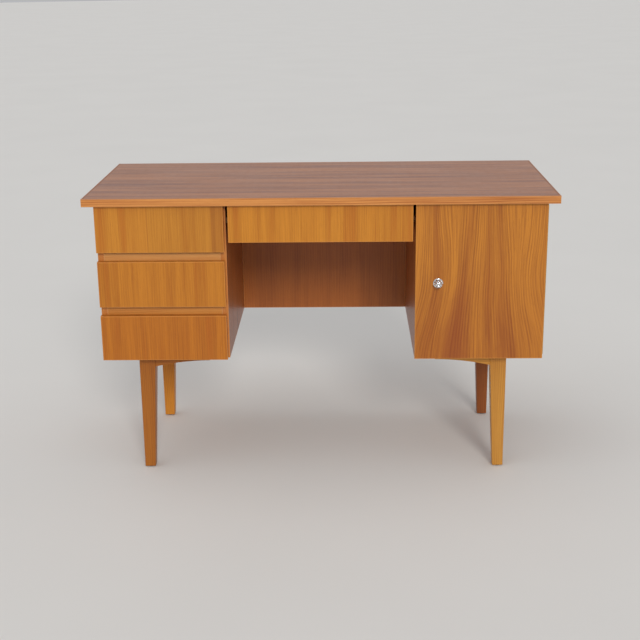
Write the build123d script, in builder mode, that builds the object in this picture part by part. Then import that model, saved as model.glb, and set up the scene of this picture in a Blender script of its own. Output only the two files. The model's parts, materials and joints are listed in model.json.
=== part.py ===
from build123d import *
import os

# A two-pedestal writing desk: three drawers on the left, a cupboard on the right,
# a drawer over the kneehole, and four tapered legs on short bearers.
# Millimetres. X runs to the right, Y to the back and Z up, and the origin is on
# the floor under the middle of the desk top. The drawers and the door face -Y.

# ---- Desk top ----
desk_width = 1200
desk_depth = 540
desk_height = 750
top_thickness = 20
lipping_thickness = 6
lipping_round = 1.2
side_overhang = 28
front_overhang = 13
back_overhang = 20

# ---- Pedestals ----
pedestal_width = 331
leg_height = 320
side_thickness = 16
bottom_thickness = 16
back_thickness = 5
back_rebate = 8
top_rail_depth = 60
top_rail_thickness = 20
kneehole_back_thickness = 12
kneehole_back_inset = 25
cleat_width = 20
cleat_chamfer = 4

# ---- Fronts and the gaps between them ----
front_thickness = 18
front_round = 1
closing_gap = 0.5
top_gap = 2
finger_gap = 24
front_reveal = 4.5
centre_front_height = 95
centre_front_gap = 7
grip_land = 8
grip_height = 15
drawer_rail_depth = 20
drawer_rail_overlap = 5

# ---- Drawer boxes and runners ----
box_length = 430
box_rise = 20
box_top_clearance = 4
centre_box_rise = 14
centre_box_drop = 13
box_side_thickness = 12
box_back_thickness = 10
box_back_drop = 6
box_bottom_thickness = 4
box_bottom_rise = 8
box_groove_depth = 5
housing_depth = 6
box_gap = 8
runner_height = 14
runner_groove_depth = 6
runner_clearance = 0.3
runner_setback = 30

# ---- Cupboard ----
shelf_thickness = 16
shelf_setback = 20
shelf_height = 184
shelf_side_clearance = 0.5
shelf_pin_radius = 3
shelf_pin_length = 22
shelf_pin_depth = 10
shelf_pin_inset = 60

# ---- Door hinge, catch and knob ----
hinge_leaf_width = 13
hinge_leaf_thickness = 0.8
hinge_end_inset = 6
knuckle_count = 18
knuckle_radius = 2
knuckle_gap = 0.2
hinge_pin_radius = 0.9
hinge_pin_clearance = 0.06
hinge_screw_count = 6
catch_width = 14
catch_height = 44
catch_depth = 16
catch_gap = 0.3
catch_drop = 70
catch_screw_inset = 8.8
catch_round = 2
strike_thickness = 1.2
strike_width = 12
strike_height = 34
knob_inset = 58
rose_radius = 13
rose_thickness = 2
rose_round = 1.6
knob_neck_radius = 5
knob_neck_length = 6
knob_radius = 11.5
knob_head_length = 13
knob_bevel = 2
knob_rim = 6
knob_lobes = 6
knob_flute_radius = 3.8
knob_flute_offset = 1.6
knob_screw_radius = 2
knob_screw_clearance = 0.3
knob_screw_head_radius = 4
knob_screw_head_height = 2.4
knob_screw_grip = 12

# ---- Legs and bearers ----
leg_top_size = 42
leg_foot_size = 28
leg_round = 2
leg_side_inset = 87
leg_front_inset = 20
leg_back_inset = 60
bearer_length = 150
bearer_height = 32
bearer_end_height = 15
bearer_thickness = 22
bearer_setback = 3
bearer_nose_round = 7
dowel_radius = 4
dowel_length = 40
dowel_spacing = 14
dowel_end_gap = 1
glide_radius = 11
glide_thickness = 3
glide_nail_radius = 1.25
glide_nail_length = 16

# ---- Screws ----
long_screw = {"shank_radius": 2, "head_radius": 4, "length": 35}
short_screw = {"shank_radius": 1.75, "head_radius": 3.4, "length": 25}
small_screw = {"shank_radius": 1.25, "head_radius": 2.4, "length": 12}
head_rim = 0.4
slot_width = 0.8
bearer_long_screw_place = 30
bearer_long_screw_recess = 9
bearer_short_screw_place = 100
bearer_short_screw_recess = 18
bearer_bore_clearance = 0.5
runner_screw_places = (25, 190, 355)

# ---- Places worked out from the sizes above ----
top_underside = desk_height - top_thickness
fronts_top = top_underside - top_gap
front_face = -desk_depth / 2 + front_overhang
front_back = front_face + front_thickness
carcass_front = front_back + closing_gap
carcass_back = desk_depth / 2 - back_overhang
carcass_depth = carcass_back - carcass_front
carcass_height = top_underside - leg_height
outer_face = desk_width / 2 - side_overhang
inner_face = outer_face - pedestal_width
opening_low = inner_face + side_thickness
opening_high = outer_face - side_thickness
opening_width = opening_high - opening_low
back_front = carcass_back - back_thickness
inside_depth = back_front - carcass_front
kneehole_back_front = carcass_back - kneehole_back_inset
front_height = (fronts_top - leg_height - 2 * finger_gap) / 3
box_top_drop = top_rail_thickness - top_gap + box_top_clearance
runner_front = carcass_front + runner_setback
runner_back = front_back + box_length
hinge_x = outer_face + knuckle_radius
hinge_y = carcass_front - closing_gap / 2
hinge_low = leg_height + hinge_end_inset
hinge_length = fronts_top - leg_height - 2 * hinge_end_inset
shelf_bottom = leg_height + bottom_thickness + shelf_height
door_knob_x = inner_face + knob_inset
door_knob_z = (leg_height + fronts_top) / 2
leg_outer = outer_face - leg_side_inset
leg_inner = leg_outer - leg_top_size
leg_front = carcass_front + leg_front_inset
leg_back = carcass_back - leg_back_inset
bearer_bottom = leg_height - bearer_height

LOW_CORNER = (Align.MIN, Align.MIN, Align.MIN)
ON_BASE = (Align.CENTER, Align.CENTER, Align.MIN)
os.makedirs("parts", exist_ok=True)


def save(piece, name):
    """Label a finished piece and write it as its own file."""
    piece.part.label = name
    export_step(piece.part, f"parts/{name}.step")


def corner(x, y, z):
    """The plane of a board that is built up from its low corner."""
    return Plane((x, y, z))


def between(a, b):
    """The lower of two places and the distance between them."""
    return min(a, b), abs(b - a)


# ---- Screws, made once with the head's face at the origin and the point down ----
def wood_screw(shank_radius, head_radius, length, slotted=True):
    """A countersunk wood screw, or with no slot the hole that it fills."""
    with BuildPart() as screw:
        with BuildSketch(Plane.XZ):
            with BuildLine():
                Polyline(
                    (0, 0),
                    (head_radius, 0),
                    (head_radius, -head_rim),
                    (shank_radius, shank_radius - head_radius - head_rim),
                    (shank_radius, shank_radius - length),
                    (0, -length),
                    close=True,
                )
            make_face()
        revolve(axis=Axis.Z)
        if slotted:
            Box(3 * head_radius, slot_width, 2 * slot_width, mode=Mode.SUBTRACT)
    return screw.part


def spread(piece, seats):
    """One group of separate copies of a piece, one at each seat."""
    with BuildPart() as group:
        with Locations(*[seat.location for seat in seats]):
            add(piece)
    return group


def mirrored_seats(seats):
    """The seats, and the same seats on the other side of the desk."""
    others = []
    for seat in seats:
        origin = (-seat.origin.X, seat.origin.Y, seat.origin.Z)
        others.append(Plane(origin, z_dir=(-seat.z_dir.X, seat.z_dir.Y, seat.z_dir.Z)))
    return seats + others


# ---- Where each drawer sits: name, front and box from left to right and bottom to top ----
def pedestal_drawer(name, number):
    """A left-hand drawer, counted from the bottom one, which is number 0."""
    bottom = leg_height + number * (front_height + finger_gap)
    return {
        "name": name,
        "front_x": (-outer_face, -inner_face - front_reveal),
        "front_z": (bottom, bottom + front_height),
        "box_x": (-opening_high + box_gap, -opening_low - box_gap),
        "box_z": (bottom + box_rise, bottom + front_height - box_top_drop),
    }


centre_bottom = fronts_top - centre_front_height
centre_drawer = {
    "name": "centre_drawer",
    "front_x": (centre_front_gap - inner_face, inner_face - centre_front_gap),
    "front_z": (centre_bottom, fronts_top),
    "box_x": (box_gap - inner_face, inner_face - box_gap),
    "box_z": (centre_bottom + centre_box_rise, fronts_top - centre_box_drop),
}
lower_drawer = pedestal_drawer("lower_drawer", 0)
middle_drawer = pedestal_drawer("middle_drawer", 1)
upper_drawer = pedestal_drawer("upper_drawer", 2)
pedestal_drawers = [lower_drawer, middle_drawer, upper_drawer]
drawers = pedestal_drawers + [centre_drawer]


def runner_middle(drawer):
    """The height of a drawer's runners, halfway up its box."""
    return (drawer["box_z"][0] + drawer["box_z"][1]) / 2


def runner_seats(drawer):
    """The screw seats on a drawer's two runners, on the faces towards the box."""
    seats = []
    reach = runner_groove_depth - runner_clearance
    for place in runner_screw_places:
        for x, turn in ((drawer["box_x"][0] + reach, 1), (drawer["box_x"][1] - reach, -1)):
            point = (x, runner_front + place, runner_middle(drawer))
            seats.append(Plane(point, z_dir=(turn, 0, 0)))
    return seats


# ---- Screw seats ----
top_screw_seats = []
for rail_y in (carcass_front + top_rail_depth / 2, back_front - top_rail_depth / 2):
    for rail_x in (opening_low + opening_width / 4, opening_high - opening_width / 4):
        point = (rail_x, rail_y, top_underside - top_rail_thickness)
        top_screw_seats.append(Plane(point, z_dir=(0, 0, -1)))

bearer_middles = (
    leg_front + bearer_setback + bearer_thickness / 2,
    leg_back - bearer_setback - bearer_thickness / 2,
)
bearer_long_seats = []
bearer_short_seats = []
for bearer_y in bearer_middles:
    point = (leg_inner - bearer_long_screw_place, bearer_y, bearer_bottom + bearer_long_screw_recess)
    bearer_long_seats.append(Plane(point, z_dir=(0, 0, -1)))
    point = (leg_inner - bearer_short_screw_place, bearer_y, bearer_bottom + bearer_short_screw_recess)
    bearer_short_seats.append(Plane(point, z_dir=(0, 0, -1)))

catch_top = top_underside - catch_drop
catch_front = front_back + strike_thickness + catch_gap
catch_middle = catch_front + catch_depth / 2
catch_screw_seats = []
for drop in (catch_screw_inset, catch_height - catch_screw_inset):
    point = (opening_low + catch_width, catch_middle, catch_top - drop)
    catch_screw_seats.append(Plane(point, z_dir=(1, 0, 0)))

hinge_screw_heights = []
for number in range(hinge_screw_count):
    hinge_screw_heights.append(hinge_low + hinge_length * (number + 0.5) / hinge_screw_count)
hinge_screw_x = outer_face - hinge_leaf_width / 2
side_leaf_seats = [Plane((hinge_screw_x, carcass_front, z), z_dir=(0, -1, 0)) for z in hinge_screw_heights]
door_leaf_seats = [Plane((hinge_screw_x, front_back, z), z_dir=(0, 1, 0)) for z in hinge_screw_heights]
strike_middle_x = opening_low + catch_width / 2
strike_middle_z = catch_top - catch_height / 2
strike_seat = Plane((strike_middle_x, front_back + strike_thickness, strike_middle_z), z_dir=(0, 1, 0))

long_seats = mirrored_seats(top_screw_seats + bearer_long_seats)
short_seats = catch_screw_seats + mirrored_seats(bearer_short_seats)
for drawer in drawers:
    short_seats = short_seats + runner_seats(drawer)

long_screws = spread(wood_screw(**long_screw), long_seats)
short_screws = spread(wood_screw(**short_screw), short_seats)
hinge_side_screws = spread(wood_screw(**small_screw), side_leaf_seats)
door_screws = spread(wood_screw(**small_screw), door_leaf_seats + [strike_seat])
save(long_screws, "long_screws")
save(short_screws, "short_screws")
save(hinge_side_screws, "hinge_side_screws")
save(door_screws, "door_screws")

long_screw_holes = spread(wood_screw(**long_screw, slotted=False), long_seats).part
short_screw_holes = spread(wood_screw(**short_screw, slotted=False), short_seats).part
side_leaf_holes = spread(wood_screw(**small_screw, slotted=False), side_leaf_seats).part
door_screw_holes = spread(wood_screw(**small_screw, slotted=False), door_leaf_seats + [strike_seat]).part

# ---- Desk top: a veneered panel with solid lippings on its four edges ----
panel_width = desk_width - 2 * lipping_thickness
panel_depth = desk_depth - 2 * lipping_thickness
with BuildPart() as desktop_panel:
    with BuildSketch(Plane.XY.offset(top_underside)):
        Rectangle(panel_width, panel_depth)
    extrude(amount=top_thickness)
    add(long_screw_holes, mode=Mode.SUBTRACT)
save(desktop_panel, "desktop_panel")

with BuildPart(corner(-desk_width / 2, -desk_depth / 2, top_underside)) as lipping_front:
    Box(desk_width, lipping_thickness, top_thickness, align=LOW_CORNER)
    fillet(lipping_front.faces().sort_by(Axis.Y)[0].edges(), radius=lipping_round)
save(lipping_front, "lipping_front")

with BuildPart(corner(-desk_width / 2, panel_depth / 2, top_underside)) as lipping_back:
    Box(desk_width, lipping_thickness, top_thickness, align=LOW_CORNER)
    fillet(lipping_back.faces().sort_by(Axis.Y)[-1].edges(), radius=lipping_round)
save(lipping_back, "lipping_back")

with BuildPart(corner(-desk_width / 2, -panel_depth / 2, top_underside)) as lipping_ends:
    Box(lipping_thickness, panel_depth, top_thickness, align=LOW_CORNER)
    fillet(lipping_ends.faces().sort_by(Axis.X)[0].edges().filter_by(Axis.Y), radius=lipping_round)
    mirror(about=Plane.YZ)
save(lipping_ends, "lipping_ends")


# ---- Pedestal sides, rebated at the back for the back panel ----
shelf_pin_seats = []
for pin_y in (carcass_front + shelf_pin_inset, back_front - shelf_pin_inset):
    for pin_x, turn in ((opening_low - shelf_pin_depth, 1), (opening_high + shelf_pin_depth, -1)):
        point = (pin_x, pin_y, shelf_bottom - shelf_pin_radius)
        shelf_pin_seats.append(Plane(point, z_dir=(turn, 0, 0)))


def shelf_pin():
    """A plain steel peg that lies along its seat's own axis."""
    with BuildPart() as pin:
        Cylinder(shelf_pin_radius, shelf_pin_length, align=ON_BASE)
        chamfer(pin.edges().filter_by(GeomType.CIRCLE), length=shelf_pin_radius / 6)
    return pin.part


shelf_pins = spread(shelf_pin(), shelf_pin_seats)
save(shelf_pins, "shelf_pins")


def pedestal_side(wall, opening):
    """An upright board between its outside wall and the face towards the opening."""
    low, thickness = between(wall, opening)
    rebate_low, rebate_width = between(opening, opening + back_rebate * (1 if wall > opening else -1))
    with BuildPart() as side:
        with BuildSketch(Plane.YZ.offset(low)):
            with Locations((carcass_front, leg_height)):
                Rectangle(carcass_depth, carcass_height, align=(Align.MIN, Align.MIN))
        extrude(amount=thickness)
        with BuildSketch(Plane.XY.offset(leg_height)):
            with Locations((rebate_low, back_front)):
                Rectangle(rebate_width, back_thickness, align=(Align.MIN, Align.MIN))
        extrude(amount=carcass_height, mode=Mode.SUBTRACT)
        add(short_screw_holes, mode=Mode.SUBTRACT)
    return side


left_outer_side = pedestal_side(-outer_face, -opening_high)
save(left_outer_side, "left_outer_side")

left_inner_side = pedestal_side(-inner_face, -opening_low)
save(left_inner_side, "left_inner_side")

with BuildPart() as right_inner_side:
    add(pedestal_side(inner_face, opening_low).part)
    add(shelf_pins.part, mode=Mode.SUBTRACT)
save(right_inner_side, "right_inner_side")

# The hinge's leaf is let into the front edge of this side.
with BuildPart() as right_outer_side:
    add(pedestal_side(outer_face, opening_high).part)
    with BuildSketch(Plane.XY.offset(hinge_low)):
        with Locations((outer_face - hinge_leaf_width, carcass_front)):
            Rectangle(hinge_leaf_width, hinge_leaf_thickness, align=(Align.MIN, Align.MIN))
    extrude(amount=hinge_length, mode=Mode.SUBTRACT)
    add(shelf_pins.part, mode=Mode.SUBTRACT)
    add(side_leaf_holes, mode=Mode.SUBTRACT)
save(right_outer_side, "right_outer_side")


# ---- Pedestal bottoms, backs and top rails ----
def pedestal_bottom(opening_left):
    """The floor of a pedestal, between its sides and in front of its back."""
    with BuildPart() as bottom:
        with Locations((opening_left, carcass_front, leg_height)):
            Box(opening_width, inside_depth, bottom_thickness, align=LOW_CORNER)
        add(long_screw_holes, mode=Mode.SUBTRACT)
        add(short_screw_holes, mode=Mode.SUBTRACT)
    return bottom


def pedestal_back(opening_left):
    """A thin plywood back in the rebates of the sides."""
    with BuildPart(corner(opening_left - back_rebate, back_front, leg_height)) as back:
        Box(opening_width + 2 * back_rebate, back_thickness, carcass_height, align=LOW_CORNER)
    return back


left_bottom = pedestal_bottom(-opening_high)
save(left_bottom, "left_bottom")
right_bottom = pedestal_bottom(opening_low)
save(right_bottom, "right_bottom")
left_back = pedestal_back(-opening_high)
save(left_back, "left_back")
right_back = pedestal_back(opening_low)
save(right_back, "right_back")

top_rail_bottom = top_underside - top_rail_thickness
with BuildPart() as top_rails:
    for rail_y in (carcass_front, back_front - top_rail_depth):
        for rail_x in (-opening_high, opening_low):
            with Locations((rail_x, rail_y, top_rail_bottom)):
                Box(opening_width, top_rail_depth, top_rail_thickness, align=LOW_CORNER)
    add(long_screw_holes, mode=Mode.SUBTRACT)
save(top_rails, "top_rails")


# ---- Rails between the drawers, flush with the front edges of the sides ----
def drawer_rail(drawer_below):
    """A rail behind the finger gap over a drawer."""
    gap_bottom = drawer_below["front_z"][1]
    with BuildPart(corner(-opening_high, carcass_front, gap_bottom - drawer_rail_overlap)) as rail:
        Box(opening_width, drawer_rail_depth, finger_gap, align=LOW_CORNER)
    return rail


drawer_rail_upper = drawer_rail(middle_drawer)
save(drawer_rail_upper, "drawer_rail_upper")
drawer_rail_lower = drawer_rail(lower_drawer)
save(drawer_rail_lower, "drawer_rail_lower")


# ---- Runners, screwed to the sides and running in the grooves of the drawer boxes ----
def runner_pair(drawer, left_wall, right_wall):
    """Two hardwood strips, from the walls into a drawer's grooves."""
    reach = runner_groove_depth - runner_clearance
    left_width = drawer["box_x"][0] + reach - left_wall
    right_width = right_wall - drawer["box_x"][1] + reach
    low = runner_middle(drawer) - runner_height / 2
    length = runner_back - runner_front
    with BuildPart() as runners:
        with Locations((left_wall, runner_front, low)):
            Box(left_width, length, runner_height, align=LOW_CORNER)
        with Locations((right_wall - right_width, runner_front, low)):
            Box(right_width, length, runner_height, align=LOW_CORNER)
        add(short_screw_holes, mode=Mode.SUBTRACT)
    return runners.part


with BuildPart() as pedestal_runners:
    add([runner_pair(drawer, -opening_high, -opening_low) for drawer in pedestal_drawers])
save(pedestal_runners, "pedestal_runners")

with BuildPart() as centre_runners:
    add(runner_pair(centre_drawer, -inner_face, inner_face))
save(centre_runners, "centre_runners")

# ---- Kneehole back, held by two cleats glued to the pedestals ----
with BuildPart(corner(-inner_face, kneehole_back_front, leg_height)) as kneehole_back:
    Box(2 * inner_face, kneehole_back_thickness, carcass_height, align=LOW_CORNER)
save(kneehole_back, "kneehole_back")

cleat_front = kneehole_back_front + kneehole_back_thickness
with BuildPart(corner(-inner_face, cleat_front, leg_height)) as kneehole_back_cleats:
    Box(cleat_width, carcass_back - cleat_front, carcass_height, align=LOW_CORNER)
    upright_edges = kneehole_back_cleats.edges().filter_by(Axis.Z)
    chamfer(upright_edges.group_by(Axis.X)[-1].sort_by(Axis.Y)[-1], length=cleat_chamfer)
    mirror(about=Plane.YZ)
save(kneehole_back_cleats, "kneehole_back_cleats")

# ---- Shelf, loose on its four pins ----
shelf_front = carcass_front + shelf_setback
with BuildPart(corner(opening_low + shelf_side_clearance, shelf_front, shelf_bottom)) as shelf:
    shelf_width = opening_width - 2 * shelf_side_clearance
    Box(shelf_width, back_front - shelf_front - shelf_side_clearance, shelf_thickness, align=LOW_CORNER)
    fillet(shelf.faces().sort_by(Axis.Y)[0].edges().filter_by(Axis.X), radius=front_round)
save(shelf, "shelf")

# ---- Leg dowels, glides and the bores in the bearers ----
# Dowels lie along X, half in the leg and half in the bearer.
dowel_seats = []
for bearer_y in bearer_middles:
    for rise in (-dowel_spacing / 2, dowel_spacing / 2):
        point = (leg_inner, bearer_y, leg_height - bearer_height / 2 + rise)
        dowel_seats.append(Plane(point, z_dir=(1, 0, 0)))
dowel_seats = mirrored_seats(dowel_seats)


def dowel(length):
    """A beech dowel, centred on its seat, or with more length the hole for it."""
    with BuildPart() as peg:
        Cylinder(dowel_radius, length)
    return peg.part


leg_dowels = spread(dowel(dowel_length), dowel_seats)
save(leg_dowels, "leg_dowels")
dowel_holes = spread(dowel(dowel_length + 2 * dowel_end_gap), dowel_seats).part


def glide():
    """A domed nail-on glide, its flat top against the foot of a leg."""
    with BuildPart() as disc:
        Cylinder(glide_radius, glide_thickness, align=ON_BASE)
        fillet(disc.edges().sort_by(Axis.Z)[0], radius=glide_thickness / 2)
        with Locations((0, 0, glide_thickness)):
            Cylinder(glide_nail_radius, glide_nail_length, align=ON_BASE)
    return disc.part


foot_middle_x = leg_outer - leg_foot_size / 2
glide_seats = [
    Plane((foot_middle_x, leg_front + leg_foot_size / 2, 0)),
    Plane((foot_middle_x, leg_back - leg_foot_size / 2, 0)),
]
leg_glides = spread(glide(), mirrored_seats(glide_seats))
save(leg_glides, "leg_glides")

# The bearers are bored from below, so that their screws reach the pedestals.
with BuildPart() as bores:
    for seats, screw in ((bearer_long_seats, long_screw), (bearer_short_seats, short_screw)):
        with Locations(*[seat.location for seat in mirrored_seats(seats)]):
            Cylinder(screw["head_radius"] + bearer_bore_clearance, bearer_height, align=ON_BASE)
bearer_bores = bores.part


# ---- Legs, square at the top and tapered on their two inward faces ----
def corner_pieces(end_name, side_name, end_sign, side_sign):
    """A leg and its bearer, at the front (-1) or back (+1), on the left (-1) or right (+1)."""
    end_face = leg_front if end_sign < 0 else leg_back
    outer = side_sign * leg_outer

    def middle(size):
        return (outer - side_sign * size / 2, end_face - end_sign * size / 2)

    with BuildPart() as leg:
        with BuildSketch(Plane.XY.offset(glide_thickness)):
            with Locations(middle(leg_foot_size)):
                Rectangle(leg_foot_size, leg_foot_size)
        with BuildSketch(Plane.XY.offset(bearer_bottom)):
            with Locations(middle(leg_top_size)):
                Rectangle(leg_top_size, leg_top_size)
        loft()
        with BuildSketch(Plane.XY.offset(bearer_bottom)):
            with Locations(middle(leg_top_size)):
                Rectangle(leg_top_size, leg_top_size)
        extrude(amount=bearer_height)
        level_edges = leg.edges().filter_by(Axis.X) + leg.edges().filter_by(Axis.Y)
        fillet(leg.edges() - level_edges, radius=leg_round)
        add(dowel_holes, mode=Mode.SUBTRACT)
        add(leg_glides.part, mode=Mode.SUBTRACT)
    save(leg, f"leg_{end_name}_{side_name}")

    near = side_sign * leg_inner
    far = near - side_sign * bearer_length
    low = bearer_bottom + bearer_height - bearer_end_height
    radius = (bearer_length**2 + (low - bearer_bottom) ** 2) / (2 * (low - bearer_bottom))
    bearer_y = bearer_middles[0 if end_sign < 0 else 1] + bearer_thickness / 2
    with BuildPart() as bearer:
        with BuildSketch(Plane.XZ.offset(-bearer_y)) as profile:
            with BuildLine():
                Polyline((far, low), (far, leg_height), (near, leg_height), (near, bearer_bottom))
                RadiusArc((near, bearer_bottom), (far, low), radius=-side_sign * radius)
            make_face()
            fillet(profile.vertices().group_by(Axis.Y)[1], radius=bearer_nose_round)
        extrude(amount=bearer_thickness)
        add(dowel_holes, mode=Mode.SUBTRACT)
        add(bearer_bores, mode=Mode.SUBTRACT)
        add(long_screw_holes, mode=Mode.SUBTRACT)
        add(short_screw_holes, mode=Mode.SUBTRACT)
    save(bearer, f"bearer_{end_name}_{side_name}")


for end_name, end_sign in (("front", -1), ("back", 1)):
    for side_name, side_sign in (("left", -1), ("right", 1)):
        corner_pieces(end_name, side_name, end_sign, side_sign)


# ---- Drawers ----
def make_drawer(drawer):
    """A front with a bevelled grip, housed on a box of sides, back and bottom."""
    name = drawer["name"]
    front_low, front_high = drawer["front_x"]
    low_z, high_z = drawer["front_z"]
    box_low, box_high = drawer["box_x"]
    box_bottom, box_top = drawer["box_z"]
    inside_low = box_low + box_side_thickness
    inside_high = box_high - box_side_thickness
    inside_width = inside_high - inside_low
    groove_low = box_bottom + box_bottom_rise
    side_height = box_top - box_bottom
    box_back = front_back + box_length

    with BuildPart(corner(inside_low - box_groove_depth, front_back - housing_depth, groove_low)) as bottom:
        width = inside_width + 2 * box_groove_depth
        Box(width, box_length + housing_depth, box_bottom_thickness, align=LOW_CORNER)
    save(bottom, f"{name}_bottom")

    with BuildPart() as sides:
        for side_x in (box_low, inside_high):
            with Locations((side_x, front_back - housing_depth, box_bottom)):
                Box(box_side_thickness, box_length + housing_depth, side_height, align=LOW_CORNER)
        add(bottom.part, mode=Mode.SUBTRACT)
        groove_height = runner_height + 2 * runner_clearance
        groove_y = runner_front - closing_gap
        for groove_x in (box_low, box_high - runner_groove_depth):
            with Locations((groove_x, groove_y, runner_middle(drawer) - groove_height / 2)):
                Box(
                    runner_groove_depth,
                    box_back - groove_y,
                    groove_height,
                    align=LOW_CORNER,
                    mode=Mode.SUBTRACT,
                )
    save(sides, f"{name}_sides")

    back_low = groove_low + box_bottom_thickness
    with BuildPart(corner(inside_low, box_back - box_back_thickness, back_low)) as back:
        Box(inside_width, box_back_thickness, box_top - box_back_drop - back_low, align=LOW_CORNER)
    save(back, f"{name}_back")

    with BuildPart() as front:
        with BuildSketch(Plane.YZ.offset(front_low)):
            with BuildLine():
                Polyline(
                    (front_face, low_z),
                    (front_face, high_z),
                    (front_back, high_z),
                    (front_back, low_z + grip_height),
                    (front_face + grip_land, low_z),
                    close=True,
                )
            make_face()
        extrude(amount=front_high - front_low)
        fillet(front.faces().sort_by(Axis.Y)[0].edges(), radius=front_round)
        add([sides.part, bottom.part], mode=Mode.SUBTRACT)
    save(front, f"{name}_front")


for drawer in drawers:
    make_drawer(drawer)

# ---- Piano hinge: two leaves with alternate knuckles on one long pin ----
knuckle_pitch = hinge_length / knuckle_count


def hinge_leaf(plate_y, first_knuckle, screw_holes):
    """A leaf whose plate starts at plate_y and whose knuckles alternate from the first."""
    plate_end = outer_face - knuckle_gap
    knuckle_length = knuckle_pitch - knuckle_gap
    bore = hinge_pin_radius + hinge_pin_clearance
    with BuildPart() as leaf:
        with Locations((outer_face - hinge_leaf_width, plate_y, hinge_low)):
            Box(hinge_leaf_width - knuckle_gap, hinge_leaf_thickness, hinge_length, align=LOW_CORNER)
        for number in range(first_knuckle, knuckle_count, 2):
            knuckle_low = hinge_low + number * knuckle_pitch + knuckle_gap / 2
            with Locations((plate_end, plate_y, knuckle_low)):
                Box(hinge_x - plate_end, hinge_leaf_thickness, knuckle_length, align=LOW_CORNER)
            with Locations((hinge_x, hinge_y, knuckle_low)):
                Cylinder(knuckle_radius, knuckle_length, align=ON_BASE)
        with Locations((hinge_x, hinge_y, hinge_low)):
            Cylinder(bore, hinge_length, align=ON_BASE, mode=Mode.SUBTRACT)
        add(screw_holes, mode=Mode.SUBTRACT)
    return leaf


hinge_side_leaf = hinge_leaf(carcass_front, 0, side_leaf_holes)
save(hinge_side_leaf, "hinge_side_leaf")
hinge_door_leaf = hinge_leaf(front_back - hinge_leaf_thickness, 1, door_screw_holes)
save(hinge_door_leaf, "hinge_door_leaf")

with BuildPart(Plane((hinge_x, hinge_y, hinge_low))) as hinge_pin:
    Cylinder(hinge_pin_radius, hinge_length, align=ON_BASE)
save(hinge_pin, "hinge_pin")

# ---- Magnetic catch on the inner side, and its strike on the door ----
with BuildPart() as catch_magnet:
    with Locations((opening_low, catch_front, catch_top - catch_height)):
        Box(catch_width, catch_depth, catch_height, align=LOW_CORNER)
    fillet(catch_magnet.edges().filter_by(Axis.Y).group_by(Axis.X)[-1], radius=catch_round)
    add(short_screw_holes, mode=Mode.SUBTRACT)
save(catch_magnet, "catch_magnet")

with BuildPart() as catch_strike:
    with Locations((strike_middle_x, front_back, strike_middle_z)):
        Box(strike_width, strike_thickness, strike_height, align=(Align.CENTER, Align.MIN, Align.CENTER))
    fillet(catch_strike.edges().filter_by(Axis.Y), radius=strike_width / 6)
    add(door_screw_holes, mode=Mode.SUBTRACT)
save(catch_strike, "catch_strike")

# ---- Knob: a lobed head on a neck, over a round rose, drawn up by a screw from inside ----
knob_axis = Axis((door_knob_x, front_face, door_knob_z), (0, -1, 0))
# Local x runs out from the knob's axis, and local y runs forward from the door's face.
knob_plane = Plane((door_knob_x, front_face, door_knob_z), x_dir=(1, 0, 0), z_dir=(0, 0, -1))
neck_end = rose_thickness + knob_neck_length
head_end = neck_end + knob_head_length
rim_start = neck_end + knob_bevel
rim_end = rim_start + knob_rim
dome_edge = knob_radius - knob_bevel / 2
dome_radius = (dome_edge**2 + (head_end - rim_end) ** 2) / (2 * (head_end - rim_end))

with BuildPart() as knob_screw:
    with BuildSketch(knob_plane):
        with BuildLine():
            Polyline(
                (0, -front_thickness - knob_screw_head_height),
                (knob_screw_head_radius, -front_thickness - knob_screw_head_height),
                (knob_screw_head_radius, -front_thickness),
                (knob_screw_radius, -front_thickness),
                (knob_screw_radius, knob_screw_grip),
                (0, knob_screw_grip),
                close=True,
            )
        make_face()
    revolve(axis=knob_axis)
    chamfer(knob_screw.edges().filter_by(GeomType.CIRCLE).sort_by(Axis.Y)[-1], length=slot_width)
    slot_middle = (door_knob_x, front_back + knob_screw_head_height, door_knob_z)
    with Locations(slot_middle):
        Box(3 * knob_screw_head_radius, 2 * slot_width, slot_width, mode=Mode.SUBTRACT)
save(knob_screw, "knob_screw")

with BuildPart() as knob_rose:
    with BuildSketch(Plane((door_knob_x, front_face, door_knob_z), z_dir=(0, -1, 0))):
        Circle(rose_radius)
        Circle(knob_screw_radius + knob_screw_clearance, mode=Mode.SUBTRACT)
    extrude(amount=rose_thickness)
    rim = knob_rose.faces().sort_by(Axis.Y)[0].edges().sort_by(SortBy.LENGTH)[-1]
    fillet(rim, radius=rose_round)
save(knob_rose, "knob_rose")

with BuildPart() as door_knob:
    with BuildSketch(knob_plane):
        with BuildLine():
            Polyline(
                (0, head_end),
                (0, knob_screw_grip),
                (knob_screw_radius, knob_screw_grip),
                (knob_screw_radius, rose_thickness),
                (knob_neck_radius, rose_thickness),
                (knob_neck_radius, neck_end),
            )
            Line((knob_neck_radius, neck_end), (knob_radius - knob_bevel, rim_start))
            ThreePointArc(
                (knob_radius - knob_bevel, rim_start),
                (knob_radius, (rim_start + rim_end) / 2),
                (dome_edge, rim_end),
            )
            RadiusArc((dome_edge, rim_end), (0, head_end), radius=-dome_radius)
        make_face()
    revolve(axis=knob_axis)
    with BuildSketch(Plane((door_knob_x, front_face - neck_end, door_knob_z), z_dir=(0, -1, 0))):
        with PolarLocations(knob_radius + knob_flute_offset, knob_lobes):
            Circle(knob_flute_radius)
    extrude(amount=2 * knob_head_length, mode=Mode.SUBTRACT)
save(door_knob, "door_knob")

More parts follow.
